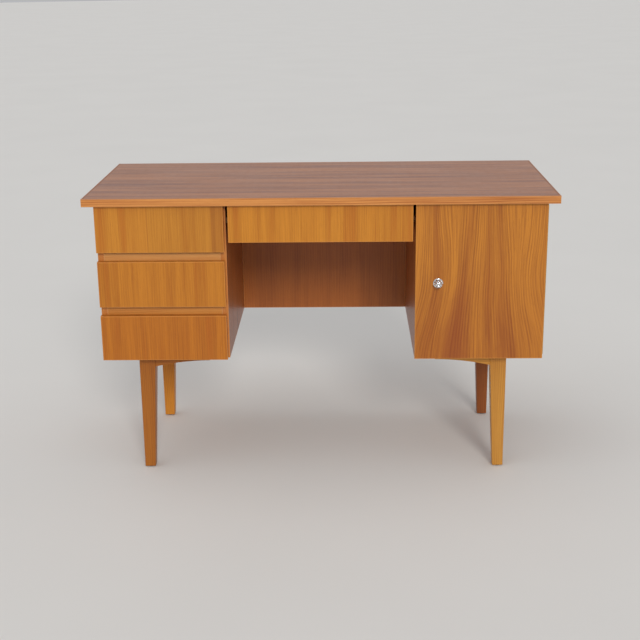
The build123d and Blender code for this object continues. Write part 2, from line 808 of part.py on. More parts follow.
# ---- Door, with the hinge's leaf let into its back ----
with BuildPart() as door_panel:
    with Locations((inner_face, front_face, leg_height)):
        Box(pedestal_width, front_thickness, fronts_top - leg_height, align=LOW_CORNER)
    fillet(door_panel.faces().sort_by(Axis.Y)[0].edges(), radius=front_round)
    with BuildSketch(Plane.XY.offset(hinge_low)):
        with Locations((outer_face - hinge_leaf_width, front_back - hinge_leaf_thickness)):
            Rectangle(hinge_leaf_width, hinge_leaf_thickness, align=(Align.MIN, Align.MIN))
    extrude(amount=hinge_length, mode=Mode.SUBTRACT)
    with BuildSketch(Plane((door_knob_x, front_face, door_knob_z), z_dir=(0, 1, 0))):
        Circle(knob_screw_radius + knob_screw_clearance)
    extrude(amount=front_thickness, mode=Mode.SUBTRACT)
    add(door_screw_holes, mode=Mode.SUBTRACT)
save(door_panel, "door_panel")
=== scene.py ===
import json
import math

import bmesh
import bpy
from mathutils import Euler, Matrix, Vector

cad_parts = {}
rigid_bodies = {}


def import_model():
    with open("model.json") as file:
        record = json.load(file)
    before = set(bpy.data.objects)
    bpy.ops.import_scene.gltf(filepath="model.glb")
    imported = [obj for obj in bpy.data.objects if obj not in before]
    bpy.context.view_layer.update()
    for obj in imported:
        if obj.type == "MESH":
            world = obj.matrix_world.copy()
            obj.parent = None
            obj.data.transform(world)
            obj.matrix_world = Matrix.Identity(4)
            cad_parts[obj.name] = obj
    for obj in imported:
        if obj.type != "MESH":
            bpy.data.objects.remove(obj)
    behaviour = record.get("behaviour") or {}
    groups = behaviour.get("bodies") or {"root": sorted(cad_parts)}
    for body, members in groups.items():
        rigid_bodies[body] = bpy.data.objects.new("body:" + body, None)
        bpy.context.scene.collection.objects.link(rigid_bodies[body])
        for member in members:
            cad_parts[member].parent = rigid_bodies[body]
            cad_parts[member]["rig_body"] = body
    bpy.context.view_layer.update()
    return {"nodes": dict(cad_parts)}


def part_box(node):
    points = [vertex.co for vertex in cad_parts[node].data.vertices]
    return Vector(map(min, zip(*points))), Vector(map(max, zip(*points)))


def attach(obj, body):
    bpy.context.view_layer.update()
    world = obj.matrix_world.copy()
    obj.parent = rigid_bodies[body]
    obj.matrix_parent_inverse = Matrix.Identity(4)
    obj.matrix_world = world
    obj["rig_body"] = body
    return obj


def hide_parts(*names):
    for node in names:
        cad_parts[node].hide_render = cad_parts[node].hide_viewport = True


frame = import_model()
nodes = frame["nodes"]

# ---------------------------------------------------------------------------
# Desk top: a veneered panel with the grain running from end to end.
# Thin walnut veneer under a worn satin lacquer, pressed onto a core and
# framed by solid lippings glued round its four edges.
# ---------------------------------------------------------------------------


def tint(red, green, blue):
    """A colour given in display values from 0 to 255."""
    channels = []
    for value in (red, green, blue):
        share = value / 255
        channels.append(share / 12.92 if share <= 0.04045 else ((share + 0.055) / 1.055) ** 2.4)
    return (*channels, 1.0)


def add_node(tree, kind, inputs=None, **settings):
    made = tree.nodes.new(kind)
    for setting, value in settings.items():
        setattr(made, setting, value)
    for socket, value in (inputs or {}).items():
        if isinstance(value, bpy.types.NodeSocket):
            tree.links.new(value, made.inputs[socket])
        else:
            made.inputs[socket].default_value = value
    return made


def maths(tree, operation, first, second=0.0, third=0.0):
    made = add_node(tree, "ShaderNodeMath", {0: first, 1: second, 2: third}, operation=operation)
    return made.outputs[0]


def fade(tree, value, start, end, low=0.0, high=1.0):
    """A smooth step from low to high as value goes from start to end."""
    made = add_node(
        tree,
        "ShaderNodeMapRange",
        {"Value": value, "From Min": start, "From Max": end, "To Min": low, "To Max": high},
        interpolation_type="SMOOTHSTEP",
    )
    return made.outputs["Result"]


def blend_colour(tree, share, first, second, blend_type="MIX"):
    made = add_node(
        tree,
        "ShaderNodeMix",
        {"Factor": share, 6: first, 7: second},
        data_type="RGBA",
        blend_type=blend_type,
    )
    return made.outputs[2]


def stretched_noise(tree, vector, stretch, detail=2.0, roughness=0.5):
    """Noise with this many features per metre along X, Y and Z."""
    scaled = add_node(tree, "ShaderNodeVectorMath", {0: vector, 1: stretch}, operation="MULTIPLY")
    noise = add_node(
        tree,
        "ShaderNodeTexNoise",
        {"Vector": scaled.outputs[0], "Scale": 1.0, "Detail": detail, "Roughness": roughness},
    )
    return noise.outputs["Fac"]


def effect_group(name, inputs, outputs):
    """An empty shader node group with these named sockets."""
    tree = bpy.data.node_groups.new(name, "ShaderNodeTree")
    for socket, default in inputs.items():
        kind = "NodeSocketVector" if isinstance(default, tuple) else "NodeSocketFloat"
        made = tree.interface.new_socket(name=socket, in_out="INPUT", socket_type=kind)
        made.default_value = default
    for socket in outputs:
        tree.interface.new_socket(name=socket, in_out="OUTPUT", socket_type="NodeSocketFloat")
    entry = tree.nodes.new("NodeGroupInput").outputs
    return tree, entry, tree.nodes.new("NodeGroupOutput").inputs


# Grain of sawn or sliced timber. The vector's X runs across the face, Y through
# the board and Z along the grain, all from the board's middle. Each stretch is
# small along the grain and large across it.
seed_shift = (7.3, 3.1, 5.7)
sway_stretch = (9.0, 9.0, 2.2)
sway_across = 6.0
ragged_stretch = (30.0, 30.0, 3.0)
ragged_rings = 1.3
strength_stretch = (60.0, 60.0, 3.0)
faintest_ring = 0.1
streak_stretch = (34.0, 34.0, 1.3)
fibre_stretch = (330.0, 330.0, 6.0)
pore_stretch = (1300.0, 1300.0, 42.0)
timber_grain, given, result = effect_group(
    "timber_grain",
    {
        "Vector": (0.0, 0.0, 0.0),
        "Seed": 0.0,
        "Ring Width": 0.008,
        "Heart Across": 0.0,
        "Heart Depth": 0.06,
        "Heart Bow": 0.0,
        "Waviness": 0.003,
    },
    ("Rings", "Streaks", "Fibres", "Pores"),
)
moved = add_node(
    timber_grain,
    "ShaderNodeVectorMath",
    {0: given["Seed"], 1: seed_shift, 2: given["Vector"]},
    operation="MULTIPLY_ADD",
).outputs[0]
axes = add_node(timber_grain, "ShaderNodeSeparateXYZ", {0: given["Vector"]}).outputs
sway = stretched_noise(timber_grain, moved, sway_stretch)
sway = maths(timber_grain, "MULTIPLY", maths(timber_grain, "SUBTRACT", sway, 0.5), given["Waviness"])
across = maths(timber_grain, "SUBTRACT", axes["X"], given["Heart Across"])
across = maths(timber_grain, "MULTIPLY_ADD", sway, sway_across, across)
bow = maths(timber_grain, "MULTIPLY", axes["Z"], axes["Z"])
bow = maths(timber_grain, "MULTIPLY", bow, given["Heart Bow"])
depth = maths(timber_grain, "SUBTRACT", given["Heart Depth"], bow)
depth = maths(timber_grain, "ADD", depth, axes["Y"])
radius = maths(timber_grain, "MULTIPLY", depth, depth)
radius = maths(timber_grain, "MULTIPLY_ADD", across, across, radius)
radius = maths(timber_grain, "SQRT", radius)
turns = maths(timber_grain, "DIVIDE", radius, given["Ring Width"])
ragged = stretched_noise(timber_grain, moved, ragged_stretch, 3.0, 0.6)
turns = maths(timber_grain, "MULTIPLY_ADD", ragged, ragged_rings, turns)
year = maths(timber_grain, "FRACT", turns)
darkening = fade(timber_grain, year, 0.25, 0.8)
late_wood = maths(timber_grain, "MULTIPLY", darkening, fade(timber_grain, year, 1.0, 0.85))
strength = stretched_noise(timber_grain, moved, strength_stretch)
strength = fade(timber_grain, strength, 0.32, 0.68, faintest_ring)
timber_grain.links.new(maths(timber_grain, "MULTIPLY", late_wood, strength), result["Rings"])
streaks = stretched_noise(timber_grain, moved, streak_stretch, 4.0, 0.6)
timber_grain.links.new(streaks, result["Streaks"])
fibres = stretched_noise(timber_grain, moved, fibre_stretch, 3.0, 0.65)
timber_grain.links.new(fibres, result["Fibres"])
pore = stretched_noise(timber_grain, moved, pore_stretch, 1.0)
timber_grain.links.new(fade(timber_grain, pore, 0.62, 0.72), result["Pores"])

# Distance from a board's arrises, for lippings and for wear. It is the middle
# one of the three distances to the board's pairs of faces.
board_border, given, result = effect_group(
    "board_border",
    {
        "Vector": (0.0, 0.0, 0.0),
        "Middle": (0.0, 0.0, 0.0),
        "Half Size": (0.1, 0.1, 0.1),
        "Width": 0.002,
        "Softness": 0.001,
    },
    ("Mask",),
)
terms = {0: given["Vector"], 1: given["Middle"]}
from_middle = add_node(board_border, "ShaderNodeVectorMath", terms, operation="SUBTRACT").outputs[0]
terms = {0: from_middle}
from_middle = add_node(board_border, "ShaderNodeVectorMath", terms, operation="ABSOLUTE").outputs[0]
terms = {0: given["Half Size"], 1: from_middle}
inwards = add_node(board_border, "ShaderNodeVectorMath", terms, operation="SUBTRACT").outputs[0]
axes = add_node(board_border, "ShaderNodeSeparateXYZ", {0: inwards}).outputs
lesser = maths(board_border, "MINIMUM", axes["X"], axes["Y"])
greater = maths(board_border, "MAXIMUM", axes["X"], axes["Y"])
nearest = maths(board_border, "MAXIMUM", lesser, maths(board_border, "MINIMUM", greater, axes["Z"]))
limit = maths(board_border, "ADD", given["Width"], given["Softness"])
board_border.links.new(fade(board_border, nearest, limit, given["Width"]), result["Mask"])

# Hand marks and fine rubbing in a lacquer film.
hand_mark_stretch = (5.0, 5.0, 5.0)
rubbing_stretch = (70.0, 70.0, 70.0)
rubbing_share = 0.4
lacquer_marks, given, result = effect_group(
    "lacquer_marks", {"Vector": (0.0, 0.0, 0.0), "Level": 0.4, "Spread": 0.1}, ("Roughness",)
)
cloudy = stretched_noise(lacquer_marks, given["Vector"], hand_mark_stretch, 4.0, 0.6)
rubbed = stretched_noise(lacquer_marks, given["Vector"], rubbing_stretch, 2.0, 0.6)
film = maths(lacquer_marks, "MULTIPLY", cloudy, 1 - rubbing_share)
film = maths(lacquer_marks, "MULTIPLY_ADD", rubbed, rubbing_share, film)
film = maths(lacquer_marks, "SUBTRACT", film, 0.5)
film = maths(lacquer_marks, "MULTIPLY_ADD", film, given["Spread"], given["Level"])
lacquer_marks.links.new(film, result["Roughness"])

# How a board is turned for its grain: which way it runs, and the face it shows.
grain_turns = {
    "upright, facing the front": (0, 0, 0),
    "upright, facing the side": (0, 0, 90),
    "left to right, facing up": (0, -90, 90),
    "left to right, facing the front": (0, -90, 0),
    "front to back, facing up": (90, 0, 0),
    "front to back, facing the side": (90, 0, 90),
}
pore_darkness = 0.35
pore_dullness = 0.15
pore_sinking = -0.7
grain_relief = 0.0004
film_spread = 0.22
coat_roughness = 0.22


def bare_material(name):
    material = bpy.data.materials.new(name)
    material.use_nodes = True
    tree = material.node_tree
    position = add_node(tree, "ShaderNodeTexCoord").outputs["Object"]
    return material, tree, tree.nodes["Principled BSDF"], position


def wood(
    name,
    node,
    turn,
    seed,
    pale,
    dark,
    ring_width=0.008,
    heart=(0.3, 0.08, 0.0),
    waviness=0.004,
    figure=0.6,
    bands=0.45,
    fibre=0.9,
    streak=None,
    leaf=None,
    edging=None,
    marks=None,
    bend=None,
    roughness=0.38,
    gloss=0.3,
    coat=0.1,
    bump=0.25,
):
    """A timber finish for one board, with its grain centred on that board.

    heart is the place of the tree's heart: across the face, behind it, and how
    much it bows. leaf is the width, shift and contrast of the veneer's leaves,
    and edging the colour, width and share of the wear along the arrises.
    """
    material, tree, shader, position = bare_material(name)
    lowest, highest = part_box(node)
    angles = Euler([math.radians(angle) for angle in grain_turns[turn]])
    placed = add_node(
        tree,
        "ShaderNodeMapping",
        {"Vector": position, "Location": -(angles.to_matrix() @ (lowest + highest) / 2), "Rotation": angles},
    ).outputs[0]
    if bend is not None:
        placed = bend(tree, placed)
    if leaf is not None:
        leaf_width, leaf_shift, leaf_contrast = leaf
        across = add_node(tree, "ShaderNodeSeparateXYZ", {0: placed}).outputs["X"]
        across = maths(tree, "DIVIDE", maths(tree, "ADD", across, leaf_shift), leaf_width)
        seed = maths(tree, "ADD", maths(tree, "FLOOR", across), seed)
    grain = add_node(
        tree,
        "ShaderNodeGroup",
        {
            "Vector": placed,
            "Seed": seed,
            "Ring Width": ring_width,
            "Heart Across": heart[0],
            "Heart Depth": heart[1],
            "Heart Bow": heart[2],
            "Waviness": waviness,
        },
        node_tree=timber_grain,
    ).outputs
    share = maths(tree, "MULTIPLY", grain["Rings"], figure)
    share = maths(tree, "MULTIPLY_ADD", fade(tree, grain["Streaks"], 0.3, 0.7), bands, share)
    share = maths(tree, "MULTIPLY_ADD", maths(tree, "SUBTRACT", grain["Fibres"], 0.5), fibre, share)
    colour = blend_colour(tree, share, pale, dark)
    if streak is not None:
        streak_colour, streak_share = streak
        rich = maths(tree, "MULTIPLY", fade(tree, grain["Streaks"], 0.5, 0.72), streak_share)
        colour = blend_colour(tree, rich, colour, streak_colour)
    if leaf is not None:
        tone = add_node(tree, "ShaderNodeTexWhiteNoise", {"W": seed}, noise_dimensions="1D").outputs["Value"]
        tone = maths(tree, "MULTIPLY_ADD", tone, leaf_contrast, 1 - leaf_contrast / 2)
        grey = add_node(tree, "ShaderNodeCombineColor", {0: tone, 1: tone, 2: tone}).outputs[0]
        colour = blend_colour(tree, 1.0, colour, grey, "MULTIPLY")
    if marks is not None:
        colour = marks(tree, placed, colour)
    colour = blend_colour(tree, maths(tree, "MULTIPLY", grain["Pores"], pore_darkness), colour, dark)
    if edging is not None:
        edge_colour, edge_width, edge_share = edging
        border = border_mask(tree, position, node, edge_width, edge_width / 2)
        colour = blend_colour(tree, maths(tree, "MULTIPLY", border, edge_share), colour, edge_colour)
    film = add_node(
        tree,
        "ShaderNodeGroup",
        {"Vector": position, "Level": roughness, "Spread": film_spread},
        node_tree=lacquer_marks,
    ).outputs["Roughness"]
    height = maths(tree, "MULTIPLY_ADD", grain["Pores"], pore_sinking, grain["Fibres"])
    raised = add_node(tree, "ShaderNodeBump", {"Strength": bump, "Distance": grain_relief, "Height": height})
    film = maths(tree, "MULTIPLY_ADD", grain["Pores"], pore_dullness, film)
    tree.links.new(colour, shader.inputs["Base Color"])
    tree.links.new(film, shader.inputs["Roughness"])
    tree.links.new(raised.outputs[0], shader.inputs["Normal"])
    shader.inputs["Specular IOR Level"].default_value = gloss
    shader.inputs["Coat Weight"].default_value = coat
    shader.inputs["Coat Roughness"].default_value = coat_roughness
    return material


def border_mask(tree, position, node, width, softness):
    lowest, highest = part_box(node)
    sizes = {
        "Vector": position,
        "Middle": (lowest + highest) / 2,
        "Half Size": (highest - lowest) / 2,
        "Width": width,
        "Softness": softness,
    }
    return add_node(tree, "ShaderNodeGroup", sizes, node_tree=board_border).outputs["Mask"]


def finish_with(material, *names):
    """Gives the CAD nodes a finish in every material slot."""
    for name in names:
        slots = nodes[name].data.materials
        if not slots:
            slots.append(material)
        for index in range(len(slots)):
            slots[index] = material


top_pale = tint(178, 112, 64)
top_dark = tint(110, 58, 34)

finish_with(
    wood(
        "walnut_top_veneer",
        "desktop_panel",
        "left to right, facing up",
        1.0,
        top_pale,
        top_dark,
        ring_width=0.011,
        heart=(0.55, 0.1, 0.02),
        figure=0.5,
        bands=0.45,
        fibre=1.8,
        streak=(tint(116, 58, 34), 0.5),
        roughness=0.33,
        gloss=0.5,
        coat=0.15,
        bump=0.2,
    ),
    "desktop_panel",
)

# ---------------------------------------------------------------------------
# Lippings: solid strips of the same timber as the fronts, 6 mm thick, glued
# round the top and rounded over, rubbed paler along their arrises.
# ---------------------------------------------------------------------------
veneer_underside = 0.7492
veneer_edge_fade = 0.0002


def covering_veneer(tree, placed, colour):
    """The top's veneer runs on over the lippings, out to their arrises."""
    position = add_node(tree, "ShaderNodeTexCoord").outputs["Object"]
    height = add_node(tree, "ShaderNodeSeparateXYZ", {0: position}).outputs["Z"]
    line = stretched_noise(tree, position, (1.5, 200.0, 1.0), 3.0, 0.6)
    veneer = blend_colour(tree, line, top_pale, top_dark)
    cover = fade(tree, height, veneer_underside, veneer_underside + veneer_edge_fade)
    return blend_colour(tree, cover, colour, veneer)


lipping_turns = {
    "lipping_front": "left to right, facing the front",
    "lipping_back": "left to right, facing the front",
    "lipping_ends": "front to back, facing the side",
}
for seed, (name, turn) in enumerate(lipping_turns.items(), 3):
    finish_with(
        wood(
            name + "_timber",
            name,
            turn,
            seed,
            tint(214, 144, 76),
            tint(164, 90, 36),
            ring_width=0.006,
            heart=(0.05, 0.02, 0.03),
            waviness=0.002,
            fibre=1.5,
            marks=covering_veneer,
            edging=(tint(222, 160, 104), 0.0008, 0.5),
            roughness=0.4,
        ),
        name,
    )

# ---------------------------------------------------------------------------
# Pedestal sides and bottoms: 16 mm veneered board with the grain upright. The
# bottoms are dowelled between the sides, which run up to the desk top.
# ---------------------------------------------------------------------------
weld_distance = 1e-6
flat_angle = math.radians(0.5)
arris_angle = math.radians(40)
shortest_arris = 0.01
sanded_ease = 0.0005


def link_piece(mesh, name, material, body, slot, *replaced):
    """Makes an object of the mesh that stands for the replaced CAD nodes."""
    mesh.materials.clear()
    mesh.materials.append(material)
    piece = bpy.data.objects.new(name, mesh)
    bpy.context.scene.collection.objects.link(piece)
    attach(piece, body)
    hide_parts(*replaced)
    return piece


def eased(name, slot, material):
    """Replaces a node with a merged copy whose long arrises are sanded round."""
    shape = bmesh.new()
    shape.from_mesh(nodes[name].data)
    bmesh.ops.remove_doubles(shape, verts=shape.verts, dist=weld_distance)
    bmesh.ops.dissolve_limit(
        shape, angle_limit=flat_angle, verts=shape.verts, edges=shape.edges, use_dissolve_boundaries=False
    )
    arrises = [
        edge
        for edge in shape.edges
        if edge.is_manifold
        and edge.calc_length() > shortest_arris
        and edge.calc_face_angle_signed(0.0) > arris_angle
    ]
    bmesh.ops.bevel(
        shape,
        geom=arrises,
        offset=sanded_ease,
        offset_type="OFFSET",
        affect="EDGES",
        segments=2,
        profile=0.5,
        material=-1,
        clamp_overlap=True,
    )
    mesh = bpy.data.meshes.new(name + "_eased")
    shape.to_mesh(mesh)
    shape.free()
    mesh.shade_flat()
    link_piece(mesh, name + "_eased", material, nodes[name]["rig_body"], slot, name)


carcass_pale = tint(172, 98, 42)
carcass_dark = tint(124, 60, 24)
carcass_edging = (tint(206, 140, 82), 0.0011, 0.7)
side_lipping_edge = 0.2405
side_lipping_fade = 0.0003


def front_lipping(tree, placed, colour):
    """A pale solid strip glued to the front edge of a pedestal side."""
    forwards = add_node(tree, "ShaderNodeSeparateXYZ", {0: placed}).outputs["X"]
    strip = fade(tree, forwards, side_lipping_edge, side_lipping_edge + side_lipping_fade)
    line = stretched_noise(tree, placed, (500.0, 500.0, 9.0))
    timber = blend_colour(tree, line, tint(208, 136, 66), tint(180, 106, 46))
    return blend_colour(tree, strip, colour, timber)


pedestal_sides = ("left_outer_side", "left_inner_side", "right_inner_side", "right_outer_side")
for seed, name in enumerate(pedestal_sides, 11):
    eased(
        name,
        "carcass_veneer",
        wood(
            name + "_veneer",
            name,
            "upright, facing the side",
            seed,
            carcass_pale,
            carcass_dark,
            ring_width=0.010,
            heart=(0.05 * (seed - 12), 0.07, 0.18),
            waviness=0.005,
            marks=front_lipping,
            edging=carcass_edging,
        ),
    )
inside_pale = tint(196, 136, 86)
inside_dark = tint(160, 98, 56)
for seed, name in enumerate(("left_bottom", "right_bottom"), 16):
    eased(
        name,
        "inside_veneer",
        wood(
            name + "_veneer",
            name,
            "left to right, facing up",
            seed,
            inside_pale,
            inside_dark,
            edging=carcass_edging,
            roughness=0.5,
        ),
    )

# ---------------------------------------------------------------------------
# Pedestal backs: 5 mm plywood let into rebates in the sides, its outer veneer
# upright and left with a thin sealing coat only.
# ---------------------------------------------------------------------------
ply_pale = tint(206, 164, 116)
ply_dark = tint(172, 124, 80)
for seed, name in enumerate(("left_back", "right_back"), 21):
    eased(
        name,
        "plywood",
        wood(
            name + "_plywood",
            name,
            "upright, facing the front",
            seed,
            ply_pale,
            ply_dark,
            ring_width=0.016,
            heart=(0.02 * (seed - 21), 0.05, 0.1),
            waviness=0.012,
            figure=0.45,
            roughness=0.62,
            coat=0.0,
            bump=0.4,
        ),
    )

# ---------------------------------------------------------------------------
# Top rails, cleats and runners: planed beech, hidden under the top and behind
# the fronts. The runners are screwed to the pedestal sides.
# ---------------------------------------------------------------------------
beech_pale = tint(216, 176, 130)
beech_dark = tint(186, 142, 98)
beech_turns = {
    "top_rails": "left to right, facing up",
    "kneehole_back_cleats": "upright, facing the side",
    "pedestal_runners": "front to back, facing the side",
    "centre_runners": "front to back, facing the side",
}


def beech(name, turn, seed):
    return wood(
        name + "_beech",
        name,
        turn,
        seed,
        beech_pale,
        beech_dark,
        ring_width=0.004,
        heart=(0.1, 0.06, 0.02),
        waviness=0.002,
        figure=0.35,
        roughness=0.58,
        coat=0.0,
        bump=0.35,
    )


for seed, (name, turn) in enumerate(beech_turns.items(), 31):
    eased(name, "beech", beech(name, turn, seed))

# ---------------------------------------------------------------------------
# Drawer rails: solid strips dowelled across the left pedestal behind the gaps
# between the fronts, with the grain from side to side.
# ---------------------------------------------------------------------------
# The lower rail is darker than the upper one, partly painted shade, as on the fronts.
rail_colours = {
    "drawer_rail_upper": (tint(220, 160, 90), tint(192, 124, 60)),
    "drawer_rail_lower": (tint(210, 142, 66), tint(180, 108, 42)),
}
for seed, (name, (pale, dark)) in enumerate(rail_colours.items(), 41):
    eased(
        name,
        "rail_wood",
        wood(
            name + "_timber",
            name,
            "left to right, facing the front",
            seed,
            pale,
            dark,
            ring_width=0.005,
            heart=(0.06, 0.03, 0.02),
            edging=(tint(230, 176, 120), 0.001, 0.5),
        ),
    )

# ---------------------------------------------------------------------------
# Kneehole back: a 12 mm veneered panel screwed to a cleat on each pedestal,
# darker than the fronts, its grain upright.
# ---------------------------------------------------------------------------
eased(
    "kneehole_back",
    "carcass_veneer",
    wood(
        "kneehole_back_veneer",
        "kneehole_back",
        "upright, facing the front",
        45,
        tint(170, 97, 38),
        tint(124, 61, 22),
        ring_width=0.007,
        heart=(0.34, 0.08, 0.1),
        waviness=0.003,
        figure=0.25,
        bands=0.3,
        fibre=1.2,
        leaf=(0.16, 0.05, 0.12),
        edging=carcass_edging,
    ),
)

# ---------------------------------------------------------------------------
# Shelf: a board veneered like the pedestal bottoms. It lies loose on four
# turned steel pins in the cupboard's sides.
# ---------------------------------------------------------------------------
eased(
    "shelf",
    "inside_veneer",
    wood(
        "shelf_veneer",
        "shelf",
        "left to right, facing up",
        48,
        inside_pale,
        inside_dark,
        edging=carcass_edging,
        roughness=0.5,
    ),
)

# ---------------------------------------------------------------------------
# Legs and bearers: solid timber. Each leg is square at the top, tapers on its
# two inward faces and takes two bearers, glued and dowelled to it.
# ---------------------------------------------------------------------------
# Each leg and its bearer share one tone, and the tones carry painted light and shade: the front left is
# darker, in painted shade, and the front right paler, in painted light.
leg_colours = {
    "front_left": (tint(170, 102, 28), tint(138, 74, 18)),
    "front_right": (tint(200, 142, 58), tint(166, 104, 34)),
    "back_left": (tint(206, 134, 40), tint(176, 102, 26)),
    "back_right": (tint(150, 84, 34), tint(116, 56, 22)),
}
for seed, (end, (pale, dark)) in enumerate(leg_colours.items(), 51):
    for part, turn in (("leg_", "upright, facing the front"), ("bearer_", "left to right, facing the front")):
        finish_with(
            wood(
                part + end + "_timber",
                part + end,
                turn,
                seed + len(part),
                pale,
                dark,
                ring_width=0.005,
                heart=(0.05, 0.035, 0.02),
                waviness=0.003,
                figure=0.5,
                roughness=0.4,
            ),
            part + end,
        )
finish_with(beech("leg_dowels", "left to right, facing the front", 66), "leg_dowels")

# ---------------------------------------------------------------------------
# Glides: turned discs of dark hard plastic nailed under the legs, scuffed dull
# where they slide on the floor.
# ---------------------------------------------------------------------------
scuff_stretch = (260.0, 260.0, 260.0)
fresh_plastic = tint(38, 34, 32)
scuffed_plastic = tint(78, 72, 68)
glide_plastic, tree, shader, position = bare_material("glide_plastic")
scuff = stretched_noise(tree, position, scuff_stretch, 3.0, 0.7)
plastic = blend_colour(tree, fade(tree, scuff, 0.45, 0.7), fresh_plastic, scuffed_plastic)
tree.links.new(plastic, shader.inputs["Base Color"])
tree.links.new(fade(tree, scuff, 0.3, 0.7, 0.4, 0.75), shader.inputs["Roughness"])
dents = add_node(tree, "ShaderNodeBump", {"Strength": 0.3, "Distance": 0.0002, "Height": scuff})
tree.links.new(dents.outputs[0], shader.inputs["Normal"])
finish_with(glide_plastic, "leg_glides")

# ---------------------------------------------------------------------------
# Drawer boxes: planed beech sides and back with a thin plywood bottom slid
# into grooves; the runners ride in the grooves along the sides.
# ---------------------------------------------------------------------------
drawers = ("upper_drawer", "middle_drawer", "lower_drawer", "centre_drawer")
for seed, drawer in enumerate(drawers, 71):
    eased(drawer + "_sides", "beech", beech(drawer + "_sides", "front to back, facing the side", seed))
    eased(drawer + "_back", "beech", beech(drawer + "_back", "left to right, facing the front", seed + 5))
    eased(
        drawer + "_bottom",
        "plywood",
        wood(
            drawer + "_bottom_plywood",
            drawer + "_bottom",
            "left to right, facing up",
            seed + 10,
            ply_pale,
            ply_dark,
            ring_width=0.014,
            heart=(0.1, 0.05, 0.1),
            waviness=0.012,
            figure=0.4,
            roughness=0.6,
            coat=0.0,
        ),
    )

# ---------------------------------------------------------------------------
# Drawer fronts: 18 mm board veneered with upright straight grain in leaves of
# slightly different tone, bevelled behind the lower edge for the fingers.
# ---------------------------------------------------------------------------
last_leaf_joint = 0.1325
middle_leaf_joint = -0.030
joint_colour = tint(140, 74, 24)


def narrow_leaf(tree, placed, colour):
    """The upper front ends on its right in a narrow, browner strip of veneer."""
    across = add_node(tree, "ShaderNodeSeparateXYZ", {0: placed}).outputs["X"]
    strip = fade(tree, across, last_leaf_joint, last_leaf_joint + 0.001, 0.0, 0.4)
    off = maths(tree, "ABSOLUTE", maths(tree, "SUBTRACT", across, middle_leaf_joint))
    middle = fade(tree, off, 0.0016, 0.0004, 0.0, 0.35)
    return blend_colour(tree, maths(tree, "MAXIMUM", strip, middle), colour, joint_colour)


# Pale and dark tone, the leaves' width, shift and contrast, and further marks.
# The fronts darken from the upper to the lower drawer: partly painted shade, partly the veneer's own tone.
front_looks = {
    "upper_drawer": (tint(200, 132, 42), tint(158, 90, 20), (0.172, 0.028, 0.16), narrow_leaf),
    "middle_drawer": (tint(194, 122, 34), tint(150, 82, 16), (0.30, 0.11, 0.05), None),
    "lower_drawer": (tint(188, 112, 28), tint(142, 74, 14), (0.34, 0.17, 0.05), None),
    "centre_drawer": (tint(202, 131, 38), tint(160, 92, 18), (0.20, 0.06, 0.10), None),
}
for seed, (drawer, (pale, dark, leaf, marks)) in enumerate(front_looks.items(), 91):
    finish_with(
        wood(
            drawer + "_front_veneer",
            drawer + "_front",
            "upright, facing the front",
            seed,
            pale,
            dark,
            ring_width=0.006,
            heart=(0.5, 0.08, 0.1),
            waviness=0.002,
            figure=0.2,
            bands=0.5,
            fibre=1.2,
            streak=(tint(182, 94, 20), 0.35),
            marks=marks,
            leaf=leaf,
            edging=(tint(222, 150, 76), 0.0014, 0.4),
        ),
        drawer + "_front",
    )

# ---------------------------------------------------------------------------
# Door: the same board as the fronts under a crown-cut leaf, whose rings open
# out above and below the middle, with red-brown heartwood left of the centre
# and painted shade darkening the leaf towards its bottom.
heartwood_and_shade_red = tint(134, 58, 24)
heartwood_bands = ((-0.046, 0.022, 0.6), (0.05, 0.014, 0.3))
heartwood_and_shade_fall = (0.16, -0.2)
torn_stretch = (36.0, 36.0, 3.0)
torn_reach = 0.09
# Share of painted shade, blended over the whole leaf and growing towards its bottom.
painted_bottom_shade = 0.2


def heartwood_and_bottom_shade(tree, placed, colour):
    """Two redder heartwood bands that widen and deepen towards the bottom of the leaf, partly as painted
    shade, and painted shade that darkens the whole leaf towards its bottom.
    """
    axes = add_node(tree, "ShaderNodeSeparateXYZ", {0: placed}).outputs
    torn = maths(tree, "SUBTRACT", stretched_noise(tree, placed, torn_stretch, 3.0, 0.6), 0.5)
    fall = fade(tree, axes["Z"], *heartwood_and_shade_fall)
    for place, spread, share in heartwood_bands:
        off = maths(tree, "ABSOLUTE", maths(tree, "SUBTRACT", axes["X"], place))
        off = maths(tree, "MULTIPLY_ADD", torn, torn_reach, off)
        reach = maths(tree, "MULTIPLY_ADD", fall, spread * 1.6, spread * 0.6)
        near = maths(tree, "SUBTRACT", 1.0, maths(tree, "DIVIDE", off, reach))
        band = maths(tree, "MULTIPLY", fall, share)
        band = maths(tree, "MULTIPLY", fade(tree, near, 0.0, 0.8), band)
        colour = blend_colour(tree, band, colour, heartwood_and_shade_red)
    # Painted shade: the whole leaf turns darker and redder towards its bottom.
    return blend_colour(tree, maths(tree, "MULTIPLY", fall, painted_bottom_shade), colour, heartwood_and_shade_red)


drift_stretch = (5.0, 1.0, 3.0)
drift_reach = 0.02
fork_spacing = 0.155
fork_place = -0.062
fork_swing = 0.011
upper_rise = (0.0, 0.21)
lower_fall = (0.02, -0.21)
lower_spread = 0.24


